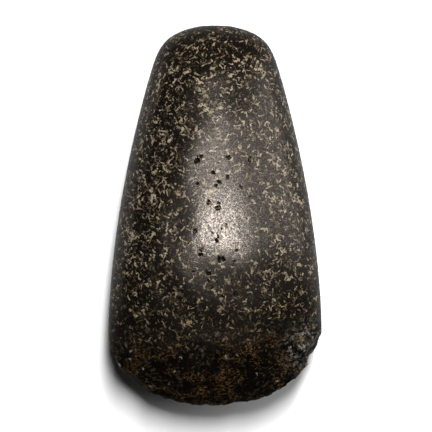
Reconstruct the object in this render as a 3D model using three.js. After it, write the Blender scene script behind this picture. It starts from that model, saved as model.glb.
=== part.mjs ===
// A polished stone axe head, lying on one face: a thick oval body that widens from a
// rounded butt to a broad, strongly curved cutting edge, which is blunt and chipped.
// Millimetres. X runs across the blade, Y from the cutting edge to the butt and Z up.
// The origin is under the middle of the axe, on the surface that it lies on.
import * as THREE from "three";
import { mergeVertices } from "three/addons/utils/BufferGeometryUtils.js";

// Driving sizes of the ground form.
const length = 130;
const width = 72.8; // across the corners of the blade
const thickness = 42;
const bladeDepth = 24.5; // how far the cutting edge bows out beyond its corners
const bladeSkew = -1.2; // the furthest point of the edge sits left of the middle
const bladeSquareness = 2.07; // 2 is an ellipse, more is a squarer blade
const sideTaper = 19.3; // how much narrower each side would be at the butt's tip
const sidePower = 1.77; // above 1 the sides bulge a little between butt and blade
const buttRounding = 3.7; // how far down the butt's end its corners are rounded off
const buttSquareness = 1.17;
const crestFromButt = 73; // the thickest place, measured from the butt's tip

// Side view: the crest line falls to the butt on a blunt curve, and to the blade on a slow
// wave that leaves this share of the thickness to be ground away by the bevels.
const buttFullness = 2.5;
const bevelShare = 0.5;

// Cross sections: 1 - u^2 raised to 1 / roundness is the height at the share u of the way
// to the rim, so 2 is a round flank and 1 a parabola that meets the rim at an angle.
const roundness = { body: 2, blade: 1.15 };
const bladeReach = { from: 88, to: 118 }; // where, from the butt, the one becomes the other
const edgeLand = 1.7; // thickness of the blunt cutting edge
const edgeRounding = 0.08;

// Small flats: where the axe lies on its lower face, and the worn tip of the butt.
const restFlatDepth = 0.4;
const buttFlatDepth = 0.5;

// Slow unevenness left by hand grinding.
const waviness = 0.22;
const waveLength = 47;

// Flakes struck off the cutting edge. The turn goes round the edge from its middle,
// -90 at the left corner and 90 at the right one. Each scar is part of a ball of this
// radius that bites into the edge; lift sets the ball above the edge, on the upper face,
// and tall stretches it upright. The two of radius 50 wear the right corner back.
const chips = [
  { turn: -48.5, radius: 30, bite: 1.3, lift: 13, tall: 1 },
  { turn: -29, radius: 3, bite: 0.8, lift: 0, tall: 1.5 },
  { turn: 12.5, radius: 10, bite: 0.8, lift: 2, tall: 1 },
  { turn: 36, radius: 3, bite: 0.9, lift: 0, tall: 1.5 },
  { turn: 41, radius: 20, bite: 1.1, lift: -5, tall: 1 },
  { turn: 47, radius: 4, bite: 1.3, lift: 1, tall: 1.5 },
  { turn: 55.5, radius: 7, bite: 1.6, lift: -2, tall: 1.5 },
  { turn: 72, radius: 50, bite: 1.6, lift: 0, tall: 2 },
  { turn: 72, radius: 50, bite: 2.2, lift: 24, tall: 1 },
  { turn: 69.5, radius: 3.6, bite: 2.4, lift: 1, tall: 3 },
  { turn: 84, radius: 6, bite: 1.1, lift: 0, tall: 3 },
];

// The form is a box of small squares wrapped onto the stone.
const squaresAcross = 32;
const squaresThrough = 16;
const faceTilt = THREE.MathUtils.degToRad(46); // tilt at which the faces give way to the rim
const rimShares = { butt: 0.17, side: 0.5 }; // shares of the rim, from butt to blade
const buttDepth = 11; // length of the butt's share of the rim

const halfWidth = width / 2;
const halfThickness = thickness / 2;
const bladeStart = length - bladeDepth; // from the butt's tip to the blade's corners

// Half the plan's width at a distance from the butt's tip, butt end included. Beyond the
// blade's corners it stays the same, because there the edge's own curve cuts it down.
function halfWidthAt(fromButt) {
  const toBlade = Math.max(bladeStart - fromButt, 0) / bladeStart;
  const side = halfWidth - sideTaper * toBlade ** sidePower;
  const rounded = Math.exp(-((Math.max(fromButt, 0) / buttRounding) ** buttSquareness));
  return side * Math.sqrt(1 - rounded);
}

// Half the thickness along the crest, before the bevels.
function crestAt(fromButt) {
  if (fromButt < crestFromButt) {
    const toButt = (crestFromButt - fromButt) / crestFromButt;
    return halfThickness * Math.sqrt(Math.max(1 - toButt ** buttFullness, 0));
  }
  const toEdge = (fromButt - crestFromButt) / (length - crestFromButt);
  return halfThickness * (1 - bevelShare * Math.sin((toEdge * Math.PI) / 2) ** 2);
}

// Half the thickness at a place in the plan.
function heightAt(x, fromButt) {
  const past = Math.max(fromButt - bladeStart, 0) / bladeDepth;
  const across = Math.abs(x - bladeSkew * past ** 2) / Math.max(halfWidthAt(fromButt), 1e-6);
  const fall = Math.max(1 - across ** bladeSquareness - past ** bladeSquareness, 0);
  const blade = THREE.MathUtils.smoothstep(fromButt, bladeReach.from, bladeReach.to);
  const round = THREE.MathUtils.lerp(roundness.body, roundness.blade, blade);
  const land = (edgeLand / 2) * blade * (1 - fall) ** 2;
  const body = crestAt(fromButt) * fall ** (1 / round);
  return body + land * Math.sqrt(fall / (fall + edgeRounding ** 2));
}

// A place on the cutting edge, at a turn round it in radians from its middle. Its second
// number is the distance from the butt's tip.
function bladeEdgeAt(turn) {
  const across = Math.abs(Math.sin(turn)) ** (2 / bladeSquareness);
  const past = Math.abs(Math.cos(turn)) ** (2 / bladeSquareness);
  const x = Math.sign(turn) * halfWidth * across + bladeSkew * past ** 2;
  return new THREE.Vector2(x, bladeStart + bladeDepth * past);
}

// A place on the plan's outline on one side, at the share of the rim from the butt's tip (0)
// to the middle of the blade (1).
function outlineAt(share, side) {
  if (share > rimShares.side) {
    return bladeEdgeAt((side * (Math.PI / 2) * (1 - share)) / (1 - rimShares.side));
  }
  const round = Math.min(share / rimShares.butt, 1) * (Math.PI / 2);
  const along = Math.max(share - rimShares.butt, 0) / (rimShares.side - rimShares.butt);
  const buttEnd = buttDepth * (1 - Math.cos(round));
  const fromButt = THREE.MathUtils.lerp(buttEnd, bladeStart, along);
  return new THREE.Vector2(side * halfWidthAt(fromButt), fromButt);
}

// Grinding waves, along and across the stone.
function wave(point) {
  const along = Math.sin((2 * Math.PI * point.y) / waveLength + 0.9);
  const across = Math.sin((2 * Math.PI * point.x) / (0.8 * waveLength) + point.z);
  return waviness * along * across;
}

// The centre of a chip's ball: outside the edge, so that the ball bites in by its depth.
function chipCentre({ turn, radius, bite, lift, tall }) {
  const angle = THREE.MathUtils.degToRad(turn);
  const before = bladeEdgeAt(angle - 0.01);
  const after = bladeEdgeAt(angle + 0.01);
  const outward = new THREE.Vector2(before.y - after.y, after.x - before.x).normalize();
  const reach = Math.sqrt(radius ** 2 - (lift / tall) ** 2) - bite;
  const centre = bladeEdgeAt(angle).addScaledVector(outward, reach);
  return new THREE.Vector3(centre.x, crestFromButt - centre.y, lift);
}

const scars = chips.map((chip) => ({ ...chip, centre: chipCentre(chip) }));

// Pushes a point that lies inside a scar's ball out to the ball's skin, into the stone.
function strike(point) {
  for (const { centre, radius, tall } of scars) {
    const away = point.clone().sub(centre);
    away.z /= tall;
    if (away.length() > radius) continue;
    away.setLength(radius);
    away.z *= tall;
    point.addVectors(centre, away);
  }
}

// Where a point of the box's skin, from -1 to 1 on each axis, lies on the stone.
function stoneAt(box) {
  const discX = box.x * Math.sqrt(1 - box.y ** 2 / 2);
  const discY = box.y * Math.sqrt(1 - box.x ** 2 / 2);
  const reach = Math.min(Math.hypot(discX, discY), 1);
  const tilt = reach * faceTilt + (1 - Math.abs(box.z)) * (Math.PI / 2 - faceTilt);
  const rim = outlineAt(Math.atan2(Math.abs(discX), discY) / Math.PI, discX < 0 ? -1 : 1);
  const plan = new THREE.Vector2(0, crestFromButt).lerp(rim, Math.sin(tilt));
  const face = Math.sign(box.z);
  const point = new THREE.Vector3(plan.x, crestFromButt - plan.y, face * heightAt(plan.x, plan.y));
  point.z += face * wave(point) * Math.cos(tilt);
  strike(point);
  point.y = Math.min(point.y, crestFromButt - buttFlatDepth);
  point.z = Math.max(point.z, restFlatDepth - halfThickness);
  return point;
}

// The whole head as one closed surface, set down with its lowest flat at Z = 0.
function axeHeadGeometry() {
  const box = new THREE.BoxGeometry(
    2,
    2,
    2,
    squaresAcross,
    squaresAcross,
    squaresThrough,
  );
  box.deleteAttribute("normal");
  box.deleteAttribute("uv");
  const geometry = mergeVertices(box);
  const corner = new THREE.Vector3();
  const position = geometry.getAttribute("position");
  for (let i = 0; i < position.count; i++) {
    const point = stoneAt(corner.fromBufferAttribute(position, i));
    position.setXYZ(i, point.x, point.y, point.z);
  }
  geometry.computeBoundingBox();
  const { min, max } = geometry.boundingBox;
  geometry.translate(-(min.x + max.x) / 2, -(min.y + max.y) / 2, -min.z);
  geometry.computeVertexNormals();
  return geometry;
}

const speckledStone = new THREE.MeshStandardMaterial({
  color: new THREE.Color(0.035, 0.029, 0.022),
  roughness: 0.42,
  metalness: 0,
});

const axeHead = new THREE.Mesh(axeHeadGeometry(), speckledStone);
axeHead.name = "axe_head";

const stoneAxe = new THREE.Group();
stoneAxe.add(axeHead);

export default stoneAxe;
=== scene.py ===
import math
import random
import bpy
import bmesh
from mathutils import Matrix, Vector, kdtree, noise


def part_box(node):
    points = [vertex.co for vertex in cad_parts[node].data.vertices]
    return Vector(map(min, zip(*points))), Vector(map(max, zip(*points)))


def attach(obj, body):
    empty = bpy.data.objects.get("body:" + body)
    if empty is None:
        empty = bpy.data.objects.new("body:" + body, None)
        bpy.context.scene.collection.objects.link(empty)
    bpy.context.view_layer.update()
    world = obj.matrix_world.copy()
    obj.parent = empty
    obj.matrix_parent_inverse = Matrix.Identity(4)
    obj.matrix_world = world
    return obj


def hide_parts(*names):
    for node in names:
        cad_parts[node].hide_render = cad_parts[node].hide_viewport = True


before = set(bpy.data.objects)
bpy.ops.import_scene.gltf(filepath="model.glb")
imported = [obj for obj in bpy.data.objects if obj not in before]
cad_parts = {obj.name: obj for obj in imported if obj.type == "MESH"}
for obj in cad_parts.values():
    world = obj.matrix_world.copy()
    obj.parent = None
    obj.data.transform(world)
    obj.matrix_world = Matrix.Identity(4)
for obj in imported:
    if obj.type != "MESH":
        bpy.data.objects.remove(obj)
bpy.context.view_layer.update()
axeLow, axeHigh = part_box("axe_head")
print("frame loaded")

mm = 0.001
tiny = 1e-6


def smoothStep(value, start, end):
    t = min(max((value - start) / (end - start), 0.0), 1.0)
    return t * t * (3.0 - 2.0 * t)


def mix(a, b, t):
    return a + (b - a) * t


# Lengths are in millimetres. Pairs are ranges. "From the butt" runs from 0 at the butt's tip.
axe = {
    "segments": 119,          # squares along each edge of the box that is wrapped onto the stone
    "buttWorn": 0.5,          # flat at the butt's tip
    "restWorn": 0.4,          # flat that the axe lies on
    "bladeDepth": 24.5,       # how far the cutting edge bows out beyond its corners
    "bladeSkew": -1.2,        # the furthest point of the edge sits left of the middle
    "bladeSquareness": 2.07,  # 2 is an ellipse, more is a squarer blade
    "sideTaper": 19.3,        # how much narrower each side would be at the butt's tip
    "sidePower": 1.77,        # above 1 the sides bulge a little between butt and blade
    "buttRounding": 3.7,      # how far down the butt's end its corners are rounded off
    "buttSquareness": 1.17,
    "crestFromButt": 73.0,    # thickest place
    "buttFullness": 2.5,      # above 2 the crest falls to the butt on a blunt curve
    "bevelShare": 0.5,        # share of the thickness that the bevels take away
    "roundBody": 2.0,         # sections: 2 has round flanks and 1 is a parabola
    "roundBlade": 1.15,
    "bladeReach": (88.0, 118.0),     # where, from the butt, the one becomes the other
    "edgeLand": 1.7,          # thickness of the blunt cutting edge
    "edgeRounding": 0.08,
    "waviness": 0.22,         # slow unevenness left by hand grinding
    "waveLength": 47.0,
    "waveStart": 0.9,
    "waveSqueeze": 0.8,       # the waves are shorter across the stone than along it
    "faceTilt": 46.0,         # degrees of tilt where the faces give way to the rim
    "rimButt": 0.17,          # shares of the rim, from the butt's tip to the blade's middle
    "rimSide": 0.5,
    "buttDepth": 11.0,        # length of the butt's share of the rim
    "seed": 41,
    # turn round the edge in degrees, ball radius, bite, lift of the ball, upright stretch
    "scars": [
        (-48.5, 30.0, 1.3, 13.0, 1.0),
        (-29.0, 3.0, 0.8, 0.0, 1.5),
        (12.5, 10.0, 0.8, 2.0, 1.0),
        (36.0, 3.0, 0.9, 0.0, 1.5),
        (41.0, 20.0, 1.1, -5.0, 1.0),
        (47.0, 4.0, 1.3, 1.0, 1.5),
        (55.5, 7.0, 1.6, -2.0, 1.5),
        (72.0, 50.0, 1.6, 0.0, 2.0),
        (72.0, 50.0, 2.2, 24.0, 1.0),
        (69.5, 3.6, 2.4, 1.0, 3.0),
        (84.0, 6.0, 1.1, 0.0, 3.0),
    ],
    "wornScar": 20.0,         # scars of this radius or more are old and have soft rims
    "wornRings": 3,           # rings of squares round such a rim that are smoothed
    "wornPasses": 8,
    "wornStrength": 0.5,      # of each pass
    "bites": {                # small flakes lost along the cutting edge
        "count": 85,
        "turn": (-86.0, 86.0),
        "radius": (0.8, 3.2),
        "depth": (0.15, 0.6),
        "lift": (-0.5, 0.5),  # shares of the radius
        "tall": 1.2,
    },
    "spalls": {               # shallow scars on the bevels just behind the edge
        "count": 26,
        "turn": (-80.0, 80.0),
        "radius": (2.0, 7.0),
        "inward": (0.94, 0.99),
        "faces": (-1.0, 1.0, 1.0),   # one in three is on the lower face
        "height": 2.5,
        "depth": (0.12, 0.35),
    },
    "pits": {                 # small holes in the polished upper face
        "count": 38,
        "across": (1.0, 5.0),        # middle and spread
        "along": (-20.0, 30.0),      # from the crest towards the butt
        "finer": 1.3,         # distance round a pit within which the squares are cut up
        "cuts": 3,
        "radius": (0.32, 0.90),
        "holes": 3,           # run into one, so that the rim is uneven
        "holeShare": (0.6, 1.0),
        "holeShift": (-0.4, 0.4),
        "holeLift": (0.1, 0.6),
    },
    "zones": {                # places from the butt where the finish changes
        "rough": (98.0, 114.0),
        "roughSlant": 0.07,
        "roughWander": 7.0,
        "roughWanderSize": 7.0,
        "roughWanderNoise": (0.6, 2.0, 5),   # how ragged it is, step between octaves, octaves
        "dull": (74.0, 104.0),
        "dullWander": 3.0,
        "dullWanderSize": 9.0,
        "dullButt": (4.0, 22.0),
        "dullButtShare": 0.7,
        "bruisedEdge": (92.0, 110.0),
        "bruisedRim": 0.07,
        "corner": (32.0, -37.0, 6.0),   # bruised corner of the blade, from the crest
        "bruisedCorner": (2.0, 14.0),
    },
    "relief": {               # sizes and heights of the surface's unevenness
        "grainSize": 1.9,
        "grainOctaves": 3,
        "grainLevel": 0.6,
        "grain": 0.20,
        "fineSize": 0.55,
        "fineRough": 0.07,
        "finePolished": 0.012,
        "swellSize": 4.5,
        "swell": 0.03,
    },
}

length = (axeHigh[1] - axeLow[1]) / mm + axe["buttWorn"]
halfWidth = (axeHigh[0] - axeLow[0]) / mm / 2
halfThick = (axeHigh[2] - axeLow[2]) / mm / 2 + axe["restWorn"] / 2
bladeStart = length - axe["bladeDepth"]
middleX = (axeHigh[0] + axeLow[0]) / mm / 2
crestY = axeHigh[1] / mm + axe["buttWorn"] - axe["crestFromButt"]
rimZ = axeLow[2] / mm + halfThick - axe["restWorn"]


def halfWidthAt(fromButt):
    toBlade = max(bladeStart - fromButt, 0.0) / bladeStart
    side = halfWidth - axe["sideTaper"] * toBlade ** axe["sidePower"]
    rounded = math.exp(-((max(fromButt, 0.0) / axe["buttRounding"]) ** axe["buttSquareness"]))
    return side * math.sqrt(1.0 - rounded)


def crestAt(fromButt):            # half the thickness along the crest
    crest = axe["crestFromButt"]
    if fromButt < crest:
        toButt = (crest - fromButt) / crest
        return halfThick * math.sqrt(max(1.0 - toButt ** axe["buttFullness"], 0.0))
    toEdge = (fromButt - crest) / (length - crest)
    return halfThick * (1.0 - axe["bevelShare"] * math.sin(toEdge * math.pi / 2) ** 2)


def fallAt(x, fromButt):          # 1 on the crest line and 0 on the rim
    past = max(fromButt - bladeStart, 0.0) / axe["bladeDepth"]
    across = abs(x - axe["bladeSkew"] * past ** 2) / max(halfWidthAt(fromButt), tiny)
    square = axe["bladeSquareness"]
    return max(1.0 - across ** square - past ** square, 0.0)


def heightAt(x, fromButt):        # half the thickness at a place in the plan
    fall = fallAt(x, fromButt)
    blade = smoothStep(fromButt, *axe["bladeReach"])
    roundness = mix(axe["roundBody"], axe["roundBlade"], blade)
    land = axe["edgeLand"] / 2 * blade * (1.0 - fall) ** 2
    body = crestAt(fromButt) * fall ** (1.0 / roundness)
    return body + land * math.sqrt(fall / (fall + axe["edgeRounding"] ** 2))


def bladeEdgeAt(turn):            # x, and the distance from the butt
    power = 2.0 / axe["bladeSquareness"]
    across = abs(math.sin(turn)) ** power
    past = abs(math.cos(turn)) ** power
    x = math.copysign(halfWidth * across, turn) + axe["bladeSkew"] * past ** 2
    return Vector((x, bladeStart + axe["bladeDepth"] * past))


def outlineAt(share, side):       # share of the rim from the butt's tip to the blade's middle
    if share > axe["rimSide"]:
        return bladeEdgeAt(side * math.pi / 2 * (1.0 - share) / (1.0 - axe["rimSide"]))
    turn = min(share / axe["rimButt"], 1.0) * math.pi / 2
    along = max(share - axe["rimButt"], 0.0) / (axe["rimSide"] - axe["rimButt"])
    fromButt = mix(axe["buttDepth"] * (1.0 - math.cos(turn)), bladeStart, along)
    return Vector((side * halfWidthAt(fromButt), fromButt))


def waveAt(point):
    waveLength = axe["waveLength"]
    along = math.sin(2 * math.pi * point.y / waveLength + axe["waveStart"])
    across = math.sin(2 * math.pi * point.x / (axe["waveSqueeze"] * waveLength) + point.z)
    return axe["waviness"] * along * across


def stoneAt(box):
    # box is on the skin of a cube from -1 to 1; Y here is measured from the crest
    discX = box.x * math.sqrt(1.0 - box.y ** 2 / 2)
    discY = box.y * math.sqrt(1.0 - box.x ** 2 / 2)
    reach = min(math.hypot(discX, discY), 1.0)
    faceTilt = math.radians(axe["faceTilt"])
    tilt = reach * faceTilt + (1.0 - abs(box.z)) * (math.pi / 2 - faceTilt)
    rim = outlineAt(math.atan2(abs(discX), discY) / math.pi, -1.0 if discX < 0 else 1.0)
    plan = Vector((0.0, axe["crestFromButt"])).lerp(rim, math.sin(tilt))
    face = math.copysign(1.0, box.z) if abs(box.z) > tiny else 0.0
    point = Vector((plan.x, axe["crestFromButt"] - plan.y, face * heightAt(plan.x, plan.y)))
    point.z += face * waveAt(point) * math.cos(tilt)
    return point


def scarCentre(turn, radius, bite, lift, tall):
    angle = math.radians(turn)
    step = 0.01                   # radians to each side, for the edge's direction
    before, after = bladeEdgeAt(angle - step), bladeEdgeAt(angle + step)
    outward = Vector((before.y - after.y, after.x - before.x)).normalized()
    reach = math.sqrt(radius ** 2 - (lift / tall) ** 2) - bite
    centre = bladeEdgeAt(angle) + outward * reach
    return Vector((centre.x, axe["crestFromButt"] - centre.y, lift))


def makeTree(verts):
    tree = kdtree.KDTree(len(verts))
    for index, vert in enumerate(verts):
        tree.insert(vert.co, index)
    tree.balance()
    return tree


def strike(verts, tree, centre, radius, tall=1.0):
    # vertices inside the ball go out to its skin; returns the ones that moved
    moved = []
    margin = 1.0                  # a vertex may have moved since the tree was made
    for _, index, _ in tree.find_range(centre, radius * tall + margin):
        away = verts[index].co - centre
        away.z /= tall
        if away.length > radius or away.length < tiny:
            continue
        away *= radius / away.length
        away.z *= tall
        verts[index].co = centre + away
        moved.append(index)
    return moved


def softenRim(bm, moved):
    # an old scar has no sharp edge left
    inside = set(moved)
    near = {bm.verts[index] for index in moved
            if any(edge.other_vert(bm.verts[index]).index not in inside
                   for edge in bm.verts[index].link_edges)}
    for _ in range(axe["wornRings"]):
        near |= {edge.other_vert(vert) for vert in near for edge in vert.link_edges}
    near = sorted(near, key=lambda vert: vert.index)
    for _ in range(axe["wornPasses"]):
        bmesh.ops.smooth_vert(bm, verts=near, factor=axe["wornStrength"], use_axis_x=True,
                              use_axis_y=True, use_axis_z=True)


def chipEdge(bm, rng):
    verts = bm.verts
    tree = makeTree(verts)
    for turn, radius, bite, lift, tall in axe["scars"]:
        moved = strike(verts, tree, scarCentre(turn, radius, bite, lift, tall), radius, tall)
        if radius >= axe["wornScar"]:
            softenRim(bm, moved)
    bites = axe["bites"]
    tall = bites["tall"]
    for _ in range(bites["count"]):
        turn = rng.uniform(*bites["turn"])
        radius = rng.uniform(*bites["radius"])
        bite = rng.uniform(*bites["depth"])
        lift = rng.uniform(*bites["lift"]) * radius
        strike(verts, tree, scarCentre(turn, radius, bite, lift, tall), radius, tall)
    spalls = axe["spalls"]
    for _ in range(spalls["count"]):
        turn = math.radians(rng.uniform(*spalls["turn"]))
        radius = rng.uniform(*spalls["radius"])
        inward = rng.uniform(*spalls["inward"])
        edge = bladeEdgeAt(turn)
        face = rng.choice(spalls["faces"])
        spot = Vector((edge.x * inward, (axe["crestFromButt"] - edge.y) * inward,
                       face * spalls["height"]))
        _, index, _ = tree.find(spot)
        depth = rng.uniform(*spalls["depth"])
        strike(verts, tree, verts[index].co + verts[index].normal * (radius - depth), radius)
    bm.normal_update()


def roughAt(point):               # 0 where the stone is polished and 1 where it is left rough
    zones = axe["zones"]
    fromButt = axe["crestFromButt"] - point.y
    wander = noise.fractal(point / zones["roughWanderSize"], *zones["roughWanderNoise"])
    wander *= zones["roughWander"]
    return smoothStep(fromButt + zones["roughSlant"] * point.x + wander, *zones["rough"])


def dulledAt(point):              # 1 towards the blade and at the butt's end, where the laths are made fewer, dimmer and more ochre and the sheen is lowered
    zones = axe["zones"]
    fromButt = axe["crestFromButt"] - point.y
    fromButt += zones["dullWander"] * noise.noise(point / zones["dullWanderSize"])
    buttEnd = zones["dullButtShare"] * (1.0 - smoothStep(fromButt, *zones["dullButt"]))
    return max(smoothStep(fromButt, *zones["dull"]), buttEnd)


def bruisedAt(point):             # 1 along the cutting edge and at the worn corner
    zones = axe["zones"]
    fromButt = axe["crestFromButt"] - point.y
    inRim = 1.0 - smoothStep(fallAt(point.x, fromButt), 0.0, zones["bruisedRim"])
    edge = smoothStep(fromButt, *zones["bruisedEdge"]) * inRim
    fromCorner = (point - Vector(zones["corner"])).length
    return max(edge, 1.0 - smoothStep(fromCorner, *zones["bruisedCorner"]))


def reliefAt(point, rough):       # granular at the blade, only a trace in the polish
    relief = axe["relief"]
    grain = noise.turbulence(point / relief["grainSize"], relief["grainOctaves"], True)
    grain -= relief["grainLevel"]
    fine = noise.noise(point / relief["fineSize"])
    swell = noise.noise(point / relief["swellSize"])
    polished = relief["finePolished"] * fine + relief["swell"] * swell
    return mix(polished, relief["grain"] * grain + relief["fineRough"] * fine, rough)


def weather(bm, marks):
    shifts = []
    for vert in bm.verts:
        rough = roughAt(vert.co)
        vert[marks["roughZone"]] = rough
        vert[marks["dulled"]] = dulledAt(vert.co)
        vert[marks["bruised"]] = bruisedAt(vert.co)
        shifts.append(vert.normal * reliefAt(vert.co, rough))
    for vert, shift in zip(bm.verts, shifts):
        vert.co += shift


def drillPits(bm, rng, pitMark):
    pits = axe["pits"]
    tree = makeTree(bm.verts)
    spots = []
    for _ in range(pits["count"]):
        spot = Vector((rng.gauss(*pits["across"]), rng.uniform(*pits["along"]), halfThick))
        spots.append(tree.find(spot)[0])
    near = {index for spot in spots for _, index, _ in tree.find_range(spot, pits["finer"])}
    bm.verts.ensure_lookup_table()
    near = {bm.verts[index] for index in near}
    edges = [edge for edge in bm.edges if near.issuperset(edge.verts)]
    bmesh.ops.subdivide_edges(bm, edges=edges, cuts=pits["cuts"], use_grid_fill=True)
    bm.verts.ensure_lookup_table()
    bm.normal_update()
    tree = makeTree(bm.verts)
    for spot in spots:
        _, index, _ = tree.find(spot)
        radius = rng.uniform(*pits["radius"])
        normal = bm.verts[index].normal.copy()
        for _ in range(pits["holes"]):
            shiftX = rng.uniform(*pits["holeShift"])
            shiftY = rng.uniform(*pits["holeShift"])
            hole = radius * rng.uniform(*pits["holeShare"])
            lift = normal * hole * rng.uniform(*pits["holeLift"])
            centre = spot + Vector((shiftX, shiftY, 0.0)) + lift
            for moved in strike(bm.verts, tree, centre, hole):
                bm.verts[moved][pitMark] = 1.0


def setDown(bm):
    # grinds the two flats and moves the stone to where the frame has it, in metres
    top = axe["crestFromButt"] - axe["buttWorn"]
    for vert in bm.verts:
        vert.co.y = min(vert.co.y, top)
        vert.co.z = max(vert.co.z, axe["restWorn"] - halfThick)
        vert.co = (vert.co + Vector((middleX, crestY, rimZ))) * mm


def buildAxe():
    bm = bmesh.new()
    bmesh.ops.create_cube(bm, size=2.0)
    bmesh.ops.subdivide_edges(bm, edges=bm.edges[:], cuts=axe["segments"] - 1, use_grid_fill=True)
    for vert in bm.verts:
        vert.co = stoneAt(vert.co)
    bm.normal_update()
    bm.verts.ensure_lookup_table()
    bm.verts.index_update()
    print("stone shaped")

    marks = {name: bm.verts.layers.float.new(name)
             for name in ("roughZone", "dulled", "bruised", "pitted")}
    rng = random.Random(axe["seed"])
    chipEdge(bm, rng)
    weather(bm, marks)
    drillPits(bm, rng, marks["pitted"])
    setDown(bm)
    bmesh.ops.recalc_face_normals(bm, faces=bm.faces[:])
    for face in bm.faces:
        face.smooth = True
    print("axe mesh has", sum(len(face.verts) - 2 for face in bm.faces), "triangles")

    mesh = bpy.data.meshes.new("stone_axe_head")
    bm.to_mesh(mesh)
    bm.free()
    piece = bpy.data.objects.new("stone_axe_head", mesh)
    bpy.context.scene.collection.objects.link(piece)
    return piece


def newGroup(name, inputs, outputs):
    tree = bpy.data.node_groups.new(name, "ShaderNodeTree")
    for label, kind, value in inputs:
        socket = tree.interface.new_socket(label, in_out="INPUT", socket_type=kind)
        if value is not None:
            socket.default_value = value
    for label, kind in outputs:
        tree.interface.new_socket(label, in_out="OUTPUT", socket_type=kind)
    return tree, tree.nodes.new("NodeGroupInput"), tree.nodes.new("NodeGroupOutput")


def plug(tree, value, socket):
    if isinstance(value, bpy.types.NodeSocket):
        tree.links.new(value, socket)
    else:
        socket.default_value = value


def maths(tree, operation, a, b=0.0):
    node = tree.nodes.new("ShaderNodeMath")
    node.operation = operation
    plug(tree, a, node.inputs[0])
    plug(tree, b, node.inputs[1])
    return node.outputs[0]


def vectorMaths(tree, operation, a, b=(0.0, 0.0, 0.0), scale=1.0):
    node = tree.nodes.new("ShaderNodeVectorMath")
    node.operation = operation
    plug(tree, a, node.inputs[0])
    if operation == "SCALE":
        plug(tree, scale, node.inputs[3])
    elif operation != "NORMALIZE":
        plug(tree, b, node.inputs[1])
    return node.outputs["Value" if operation == "DOT_PRODUCT" else "Vector"]


def ramp(tree, value, low, high, out0=0.0, out1=1.0, smooth=True):
    node = tree.nodes.new("ShaderNodeMapRange")
    node.interpolation_type = "SMOOTHSTEP" if smooth else "LINEAR"
    for entry, name in ((value, "Value"), (low, "From Min"), (high, "From Max"),
                        (out0, "To Min"), (out1, "To Max")):
        plug(tree, entry, node.inputs[name])
    return node.outputs[0]


def blend(tree, mask, start, end):       # from one value to another as a mask goes from 0 to 1
    return ramp(tree, mask, 0.0, 1.0, start, end, False)


def noiseAt(tree, place, scale, detail, rough, colour=False):
    node = tree.nodes.new("ShaderNodeTexNoise")
    plug(tree, place, node.inputs["Vector"])
    node.inputs["Scale"].default_value = scale
    node.inputs["Detail"].default_value = detail
    node.inputs["Roughness"].default_value = rough
    return node.outputs["Color" if colour else "Fac"]


def mixColour(tree, factor, a, b):
    node = tree.nodes.new("ShaderNodeMix")
    node.data_type = "RGBA"
    for entry, index in ((factor, 0), (a, 6), (b, 7)):
        if isinstance(entry, tuple) and len(entry) == 3:
            entry = (*entry, 1.0)
        plug(tree, entry, node.inputs[index])
    return node.outputs[2]


def attribute(tree, name):
    node = tree.nodes.new("ShaderNodeAttribute")
    node.attribute_name = name
    return node.outputs["Fac"]


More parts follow.
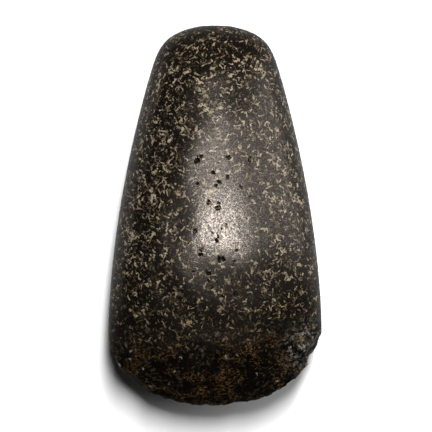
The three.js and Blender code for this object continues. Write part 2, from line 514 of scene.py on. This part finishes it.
# Sizes are in millimetres and noise scales are per millimetre.
stone = {
    "matrix": (0.0020, 0.0015, 0.0008),
    "matrixGrey": (0.0048, 0.0039, 0.0027),
    "bladeDark": (0.0009, 0.0006, 0.0003),
    "lathDim": (0.022, 0.016, 0.0088),
    "lathTan": (0.080, 0.061, 0.038),
    "lathCream": (0.255, 0.212, 0.150),
    "lathOchre": (0.160, 0.094, 0.034),
    "rust": (0.024, 0.0100, 0.0020),
    "chalk": (0.22, 0.205, 0.185),
    "polishedRoughness": 0.24,
    "wornRoughness": 0.37,     # of the grains that have lost their polish
    "roughRoughness": 0.50,
    "polishedSheen": 0.66,     # specular levels
    "wornSheen": 0.30,
    "roughSheen": 0.05,
    "plainSheen": 0.4,         # where the pattern of levels isn't read
    "sheenTint": (1.0, 0.885, 0.80),
    "polishedBump": 0.036,
    "roughBump": 0.14,
    # pattern: noise scale, detail and roughness, then the two levels that it is cut between
    "patterns": {
        "cluster": (0.28, 3.0, 0.65, 0.38, 0.58),
        "grain": (2.6, 2.0, 0.6, 0.35, 0.65),
        "tone": (0.55, 3.0, 0.65, 0.42, 0.62),
        "ochre": (0.22, 3.0, 0.6, 0.48, 0.64),
        "ragged": (1.1, 3.0, 0.7, 0.46, 0.54),
        "rustPatch": (0.17, 3.0, 0.65, 0.48, 0.58),
        "speck": (1.5, 2.0, 0.6, 0.50, 0.62),
        "bruiseSpeck": (1.0, 4.0, 0.75, 0.49, 0.61),
        "bruisePatch": (0.32, 2.0, 0.6, 0.38, 0.56),
        "glitter": (1.8, 2.0, 0.7, 0.42, 0.58),
        "bumps": (1.6, 2.0, 0.6, 0.0, 1.0),
    },
    # layer: shift of the pattern, then the cell, length, thickness, bend and fray of its laths
    "laths": {
        "large": ((0.0, 0.0, 0.0), 2.1, 2.9, 0.52, 1.9, 0.5),
        "middle": ((31.7, 12.3, 7.9), 1.45, 1.9, 0.42, 1.2, 0.45),
        "small": ((-17.1, 44.9, 3.3), 0.95, 1.0, 0.36, 0.5, 0.4),
        "clump": ((3.9, 21.0, -8.8), 7.0, 5.0, 2.0, 4.5, 2.2),
        "chalk": ((9.1, -27.3, 15.0), 1.7, 1.5, 0.55, 0.8, 0.8),
    },
    "bendScale": 0.7,
    "frayScale": 2.4,
    "wobbleNoise": (1.0, 0.5),       # detail and roughness of the bend and the fray
    "lathLengths": (0.3, 0.62),      # shortest and longest half, as shares of the length
    "lathWidth": 0.9,                # half width, as a share of the half length
    "thinCore": 0.55,                # a lath is solid out to this share of its half thickness
    "longCore": 0.85,                # and to these shares of its half length, along and across
    "wideCore": 0.75,
    "crowding": (0.30, 0.92),        # density of laths outside and inside a cluster
    "dulledCrowding": 0.60,          # what is left of it in the dulled places by the blade and at the butt
    "smallDensity": 0.55,
    "clumpDensity": 0.25,
    "chalkDensity": 0.10,
    "paleLarge": (0.25, 0.60),       # how the laths of a layer spread from dim to pale
    "paleMiddle": (0.35, 0.65),
    "paleTone": (0.36, 0.58),
    "paleChalk": (0.2, 0.9),
    "smallStrength": 0.7,
    "dulledTone": 0.05,
    "ochrePatches": 0.45,
    "dulledOchre": 0.65,
    "streaks": (0.75, 1.25, 1.0),    # the blade's stains run across it
    "speckStrength": 0.6,
    "bladeLaths": 0.8,
    "stainedGrain": (0.45, 0.65),
    "stainStrength": 0.55,
    "bruiseStrength": 0.75,
    "bruiseRough": 0.7,
    # how far the pits are darkened towards the matrix colour: painted shade in the holes
    "pitPaintedShade": 0.25,
    "dulledSheen": 0.6,
    "sheenLevels": (0.40, 0.60),
}


halfGrey = (0.5, 0.5, 0.5)        # the middle of a random colour


def wobble(tree, place, scale, reach):
    # shifts a place by up to half the reach on each axis
    drift = noiseAt(tree, place, scale, *stone["wobbleNoise"], True)
    drift = vectorMaths(tree, "SUBTRACT", drift, halfGrey)
    return vectorMaths(tree, "SCALE", drift, scale=reach)


def whiteNoise(tree, source):
    node = tree.nodes.new("ShaderNodeTexWhiteNoise")
    node.noise_dimensions = "3D"
    plug(tree, source, node.inputs["Vector"])
    return node.outputs


def within(tree, offset, direction, outer, inner):
    # 1 inside, 0 outside, and soft between the two distances from the middle
    distance = maths(tree, "ABSOLUTE", vectorMaths(tree, "DOT_PRODUCT", offset, direction))
    return ramp(tree, distance, outer, inner)


def lathGroup():
    # flat crystals set at every angle in the stone, cut open by its surface
    tree, inside, outside = newGroup(
        "crystalLaths",
        [("Place", "NodeSocketVector", None), ("Cell", "NodeSocketFloat", 2.0),
         ("Length", "NodeSocketFloat", 1.6), ("Thickness", "NodeSocketFloat", 0.4),
         ("Bend", "NodeSocketFloat", 0.4), ("Fray", "NodeSocketFloat", 0.5),
         ("Density", "NodeSocketFloat", 0.7)],
        [("Mask", "NodeSocketFloat"), ("Tone", "NodeSocketFloat")])
    get = inside.outputs
    bend = wobble(tree, get["Place"], stone["bendScale"], get["Bend"])
    fray = wobble(tree, get["Place"], stone["frayScale"], get["Fray"])
    bent = vectorMaths(tree, "ADD", vectorMaths(tree, "ADD", get["Place"], bend), fray)
    cells = tree.nodes.new("ShaderNodeTexVoronoi")
    cells.feature = "F1"
    plug(tree, bent, cells.inputs["Vector"])
    plug(tree, maths(tree, "DIVIDE", 1.0, get["Cell"]), cells.inputs["Scale"])
    cells.inputs["Randomness"].default_value = 1.0

    # each cell holds one tablet, turned at random
    offset = vectorMaths(tree, "SUBTRACT", bent, cells.outputs["Position"])
    spin = vectorMaths(tree, "SUBTRACT", cells.outputs["Color"], halfGrey)
    flat = vectorMaths(tree, "NORMALIZE", spin)
    second = whiteNoise(tree, cells.outputs["Color"])
    other = vectorMaths(tree, "SUBTRACT", second["Color"], halfGrey)
    long = vectorMaths(tree, "NORMALIZE", vectorMaths(tree, "CROSS_PRODUCT", flat, other))
    wide = vectorMaths(tree, "CROSS_PRODUCT", flat, long)
    halfLength = maths(tree, "MULTIPLY", get["Length"],
                       blend(tree, second["Value"], *stone["lathLengths"]))
    halfThin = maths(tree, "MULTIPLY", get["Thickness"], 0.5)
    maskThin = within(tree, offset, flat, halfThin,
                      maths(tree, "MULTIPLY", halfThin, stone["thinCore"]))
    maskLong = within(tree, offset, long, halfLength,
                      maths(tree, "MULTIPLY", halfLength, stone["longCore"]))
    maskWide = within(tree, offset, wide,
                      maths(tree, "MULTIPLY", halfLength, stone["lathWidth"]),
                      maths(tree, "MULTIPLY", halfLength, stone["wideCore"]))
    third = whiteNoise(tree, cells.outputs["Position"])
    present = maths(tree, "LESS_THAN", third["Value"], get["Density"])
    mask = maths(tree, "MULTIPLY", maths(tree, "MULTIPLY", maskThin, maskLong),
                 maths(tree, "MULTIPLY", maskWide, present))
    plug(tree, mask, outside.inputs["Mask"])
    plug(tree, third["Color"], outside.inputs["Tone"])
    return tree


def placeLaths(tree, group, place, layer, density):
    shift, *sizes = stone["laths"][layer]
    node = tree.nodes.new("ShaderNodeGroup")
    node.node_tree = group
    plug(tree, vectorMaths(tree, "ADD", place, shift), node.inputs["Place"])
    for name, size in zip(("Cell", "Length", "Thickness", "Bend", "Fray"), sizes):
        node.inputs[name].default_value = size
    plug(tree, density, node.inputs["Density"])
    return node.outputs


def patternNoise(tree, place, name):
    return noiseAt(tree, place, *stone["patterns"][name][:3])


def cutPattern(tree, value, name, out0=0.0, out1=1.0):
    return ramp(tree, value, *stone["patterns"][name][3:], out0, out1)


def patches(tree, place, name, out0=0.0, out1=1.0):
    return cutPattern(tree, patternNoise(tree, place, name), name, out0, out1)


def strengthen(tree, mask, strength):
    return maths(tree, "MULTIPLY", mask, strength)


def crystalLayers(tree, place, dulled):
    # laths crowd together in some places and are missing in others
    crowd = patches(tree, place, "cluster", *stone["crowding"])
    crowd = maths(tree, "MULTIPLY", crowd, blend(tree, dulled, 1.0, stone["dulledCrowding"]))
    densities = {"large": crowd, "middle": crowd, "small": stone["smallDensity"],
                 "clump": stone["clumpDensity"], "chalk": stone["chalkDensity"]}
    group = lathGroup()
    return {layer: placeLaths(tree, group, place, layer, density)
            for layer, density in densities.items()}


def polishedColour(tree, place, dulled, crystals, grain):
    tone = patternNoise(tree, place, "tone")
    tone = maths(tree, "SUBTRACT", tone, strengthen(tree, dulled, stone["dulledTone"]))
    ochre = patches(tree, place, "ochre", 0.0, stone["ochrePatches"])
    ochre = maths(tree, "MAXIMUM", ochre, strengthen(tree, dulled, stone["dulledOchre"]))
    cream = mixColour(tree, ochre, stone["lathCream"], stone["lathOchre"])
    dim = mixColour(tree, cutPattern(tree, tone, "tone"), stone["lathDim"], stone["lathTan"])
    pale = mixColour(tree, ramp(tree, tone, *stone["paleTone"]), stone["lathTan"], cream)

    colour = mixColour(tree, cutPattern(tree, grain, "grain"), stone["matrix"],
                       stone["matrixGrey"])
    colour = mixColour(tree, strengthen(tree, crystals["small"]["Mask"], stone["smallStrength"]),
                       colour, dim)
    for layer, spread in (("middle", "paleMiddle"), ("large", "paleLarge")):
        crystal = crystals[layer]
        shade = mixColour(tree, ramp(tree, crystal["Tone"], *stone[spread]), dim, pale)
        colour = mixColour(tree, crystal["Mask"], colour, shade)
    clumps = maths(tree, "MULTIPLY", crystals["clump"]["Mask"], patches(tree, place, "ragged"))
    return mixColour(tree, clumps, colour, pale)


def bladeColour(tree, place, crystals, grain):
    # near black, with the laths stained ochre in rusty patches and a few chalky crystals
    streaked = vectorMaths(tree, "MULTIPLY", place, stone["streaks"])
    laths = maths(tree, "MAXIMUM", crystals["large"]["Mask"], crystals["middle"]["Mask"])
    speck = patches(tree, streaked, "speck")
    colour = mixColour(tree, strengthen(tree, speck, stone["speckStrength"]),
                       stone["bladeDark"], stone["matrixGrey"])
    colour = mixColour(tree, strengthen(tree, laths, stone["bladeLaths"]), colour,
                       stone["lathDim"])
    rusty = mixColour(tree, speck, colour, stone["rust"])
    stain = maths(tree, "MULTIPLY", maths(tree, "MAXIMUM", laths, speck),
                  ramp(tree, grain, *stone["stainedGrain"], 0.0, stone["stainStrength"]))
    rusty = mixColour(tree, stain, rusty, stone["lathOchre"])
    colour = mixColour(tree, patches(tree, streaked, "rustPatch"), colour, rusty)
    chalk = crystals["chalk"]
    chalky = maths(tree, "MULTIPLY", chalk["Mask"],
                   ramp(tree, chalk["Tone"], *stone["paleChalk"]))
    return mixColour(tree, chalky, colour, stone["chalk"])


def makeStone():
    material = bpy.data.materials.new("speckledStone")
    material.use_nodes = True
    tree = material.node_tree
    shader = tree.nodes["Principled BSDF"]
    coords = tree.nodes.new("ShaderNodeTexCoord")
    place = vectorMaths(tree, "SCALE", coords.outputs["Object"], scale=1.0 / mm)
    rough = attribute(tree, "roughZone")
    bruised = attribute(tree, "bruised")
    dulled = attribute(tree, "dulled")
    pitted = attribute(tree, "pitted")

    grain = patternNoise(tree, place, "grain")
    crystals = crystalLayers(tree, place, dulled)
    colour = mixColour(tree, rough, polishedColour(tree, place, dulled, crystals, grain),
                       bladeColour(tree, place, crystals, grain))
    bruises = maths(tree, "MULTIPLY", patches(tree, place, "bruiseSpeck"),
                    patches(tree, place, "bruisePatch"))
    bruises = maths(tree, "MULTIPLY", bruises,
                    strengthen(tree, bruised, stone["bruiseStrength"]))
    colour = mixColour(tree, bruises, colour, stone["chalk"])
    # the pits are darkened towards the matrix colour: painted shade in the holes
    colour = mixColour(tree, strengthen(tree, pitted, stone["pitPaintedShade"]), colour,
                       stone["matrix"])
    plug(tree, colour, shader.inputs["Base Color"])

    # worn-out grains are dull, so the polish glitters
    glitter = patternNoise(tree, place, "glitter")
    unpolished = maths(tree, "MAXIMUM", maths(tree, "MAXIMUM", rough, pitted),
                       strengthen(tree, bruised, stone["bruiseRough"]))
    gloss = cutPattern(tree, glitter, "glitter", stone["polishedRoughness"],
                       stone["wornRoughness"])
    plug(tree, blend(tree, unpolished, gloss, stone["roughRoughness"]),
         shader.inputs["Roughness"])
    sheen = maths(tree, "MULTIPLY", blend(tree, dulled, 1.0, stone["dulledSheen"]),
                  ramp(tree, glitter, *stone["sheenLevels"], stone["polishedSheen"],
                       stone["wornSheen"]))
    shader.inputs["Specular IOR Level"].default_value = stone["plainSheen"]
    plug(tree, blend(tree, unpolished, sheen, stone["roughSheen"]),
         shader.inputs["Specular IOR Level"])
    shader.inputs["Specular Tint"].default_value = (*stone["sheenTint"], 1.0)

    bump = tree.nodes.new("ShaderNodeBump")
    bump.inputs["Strength"].default_value = 1.0
    bump.inputs["Distance"].default_value = mm
    reach = blend(tree, rough, stone["polishedBump"], stone["roughBump"])
    plug(tree, maths(tree, "MULTIPLY", patternNoise(tree, place, "bumps"), reach),
         bump.inputs["Height"])
    plug(tree, bump.outputs["Normal"], shader.inputs["Normal"])
    return material


axePiece = buildAxe()
axePiece.data.materials.append(makeStone())
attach(axePiece, "root")
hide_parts("axe_head")
print("axe finished")


# Metres and degrees. A turn goes from +X towards +Y, and a tilt goes down from overhead.
studio = {
    "floorSize": 3.0,
    "floorColour": (0.82, 0.82, 0.82),
    "floorInPolish": (0.24, 0.24, 0.24),            # dimmer where the axe's rim mirrors it
    "floorRoughness": 0.9,
    "boxHeight": 1.0,             # of the two boxes that only the polish sees
    "topBox": (0.040, -0.022, 0.29, 0.10, 31.0),    # place x, y and half sizes, then radiance
    "buttBox": (0.046, 0.39, 0.136, 0.175, 6.4),
    "keyDistance": 1.1,           # the key lights the floor and casts the shadow
    "keyTurn": 77.0,
    "keyTilt": 27.0,
    "keyHalf": (0.07, 0.25),      # half width and height of the box at a distance of 1
    "keyRadiance": 79.0,
    "panelDistance": 1.0,
    "panelTurn": 17.6,
    "panelTilt": 65.0,
    "panelHalf": (0.30, 1.05),
    "panelRadiance": 2.2,
    "lens": 135.0,                # millimetres, as is the sensor
    "sensor": 36.0,
    "viewWidth": 0.1474,          # width of the picture at half the axe's height
    "cameraOffset": (0.00029, 0.00003),
    "world": 0.01,
    "backdrop": 0.2,              # the world as seen past the floor's end
}


def makeFloor():
    bm = bmesh.new()
    bmesh.ops.create_grid(bm, x_segments=1, y_segments=1, size=studio["floorSize"] / 2)
    mesh = bpy.data.meshes.new("floor")
    bm.to_mesh(mesh)
    bm.free()
    floor = bpy.data.objects.new("floor", mesh)
    bpy.context.scene.collection.objects.link(floor)
    material = bpy.data.materials.new("paleFloor")
    material.use_nodes = True
    tree = material.node_tree
    shader = tree.nodes["Principled BSDF"]
    path = tree.nodes.new("ShaderNodeLightPath")
    seen = mixColour(tree, path.outputs["Is Glossy Ray"], studio["floorColour"],
                     studio["floorInPolish"])
    plug(tree, seen, shader.inputs["Base Color"])
    shader.inputs["Roughness"].default_value = studio["floorRoughness"]
    shader.inputs["Specular IOR Level"].default_value = 0.0
    mesh.materials.append(material)


def softbox(name, place, facing, size, radiance):
    light = bpy.data.lights.new(name, "AREA")
    light.shape = "RECTANGLE"
    light.size, light.size_y = size
    light.energy = radiance * math.pi * size[0] * size[1]
    lamp = bpy.data.objects.new(name, light)
    lamp.location = place
    lamp.rotation_euler = facing.to_track_quat("Z", "Y").to_euler()
    bpy.context.scene.collection.objects.link(lamp)
    return lamp


def awayFrom(turn, tilt):
    turn, tilt = math.radians(turn), math.radians(tilt)
    return Vector((math.cos(turn) * math.sin(tilt), math.sin(turn) * math.sin(tilt),
                   math.cos(tilt)))


def lightStudio(target):
    height = studio["boxHeight"]
    for name in ("topBox", "buttBox"):
        x, y, halfX, halfY, radiance = studio[name]
        lamp = softbox(name, target + Vector((x, y, 1.0)) * height, Vector((0.0, 0.0, 1.0)),
                       (2 * halfX * height, 2 * halfY * height), radiance)
        lamp.visible_diffuse = False
    for name in ("key", "panel"):
        away = awayFrom(studio[name + "Turn"], studio[name + "Tilt"])
        distance = studio[name + "Distance"]
        size = [2 * half * distance for half in studio[name + "Half"]]
        lamp = softbox(name, target + away * distance, away, size, studio[name + "Radiance"])
        lamp.visible_glossy = name != "key"


def makeWorld():
    world = bpy.data.worlds.new("studio")
    bpy.context.scene.world = world
    world.use_nodes = True
    tree = world.node_tree
    path = tree.nodes.new("ShaderNodeLightPath")
    seen = mixColour(tree, path.outputs["Is Camera Ray"], (studio["world"],) * 3,
                     (studio["backdrop"],) * 3)
    plug(tree, seen, tree.nodes["Background"].inputs["Color"])
    bpy.context.scene.view_settings.view_transform = "Standard"


def placeCamera(target):          # straight above
    lens = bpy.data.cameras.new("camera")
    lens.lens = studio["lens"]
    lens.sensor_width = studio["sensor"]
    camera = bpy.data.objects.new("camera", lens)
    reach = studio["viewWidth"] * studio["lens"] / studio["sensor"]
    camera.location = target + Vector((*studio["cameraOffset"], reach))
    bpy.context.scene.collection.objects.link(camera)
    bpy.context.scene.camera = camera


axeMiddle = Vector((0.0, 0.0, (axeLow[2] + axeHigh[2]) / 2))
makeFloor()
lightStudio(axeMiddle)
makeWorld()
placeCamera(axeMiddle)
print("studio set")
